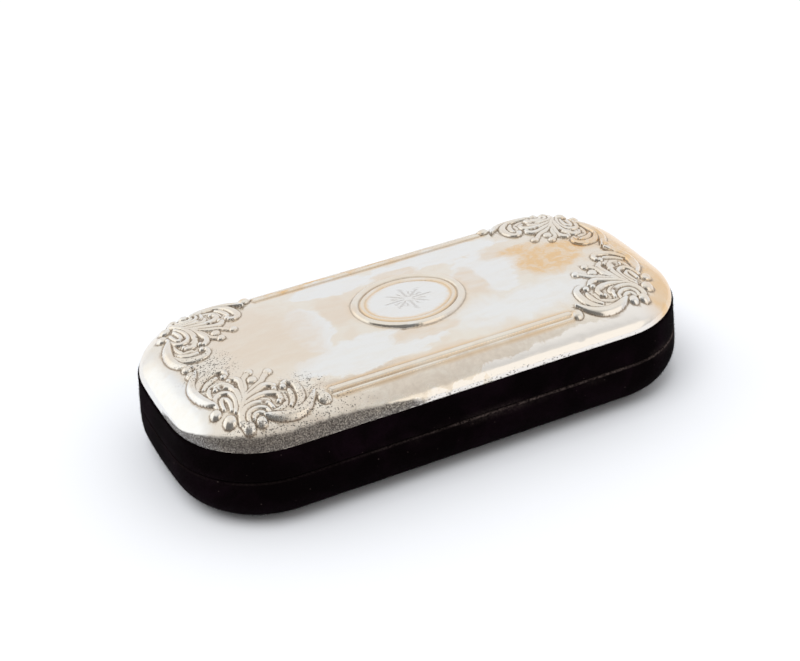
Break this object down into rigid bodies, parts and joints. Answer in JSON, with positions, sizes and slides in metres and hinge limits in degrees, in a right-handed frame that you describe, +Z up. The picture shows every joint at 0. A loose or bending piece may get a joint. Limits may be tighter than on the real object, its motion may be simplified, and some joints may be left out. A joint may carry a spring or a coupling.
{
  "type": "glasses case",
  "caption": "Hard clamshell case for spectacles: pressed metal plate with scroll corners and an oval medallion over velvet-covered shells, sprung hinge along the back.",
  "frame": {"origin": "on the surface that the case stands on, under the middle of the pressed plate's outline", "axes": "+X along the case's length, +Y towards the hinge at the back, +Z up"},
  "size_m": [0.1676, 0.0816, 0.0366],
  "materials": {
    "silver": "pressed silver, polished, with warm tarnish and dark pits",
    "velvet": "near-black velvet pile with a plum tint",
    "steel": "pressed mild steel",
    "hinge_steel": "nickel-plated steel, slightly dulled",
    "spring_steel": "oiled spring wire",
    "satin": "cream satin lining",
    "pad_satin": "cream satin over wadding",
    "wadding": "undyed cotton wadding",
    "filler": "brown resin filler"
  },
  "bodies": {
    "base": {"base_shell": "steel", "base_wadding": "wadding", "base_velvet": "velvet", "base_lining": "satin", "base_pad": "pad_satin", "base_hinge_leaf": "hinge_steel", "base_rivets": "hinge_steel", "hinge_pin": "hinge_steel", "hinge_spring": "spring_steel", "hinge_tape": "satin"},
    "lid": {"lid_shell": "steel", "lid_wadding": "wadding", "lid_velvet": "velvet", "lid_lining": "satin", "lid_pad": "pad_satin", "plate_backing": "filler", "silver_plate": "silver", "lid_hinge_leaf": "hinge_steel", "lid_rivets": "hinge_steel"}
  },
  "joints": [
    {"name": "lid_hinge", "type": "hinge", "parent": "base", "child": "lid", "pos_m": [0, 0.0403, 0.0161], "axis": [-1, 0, 0], "range_deg": [0, 105], "deforming": ["hinge_spring", "hinge_tape"]}
  ]
}
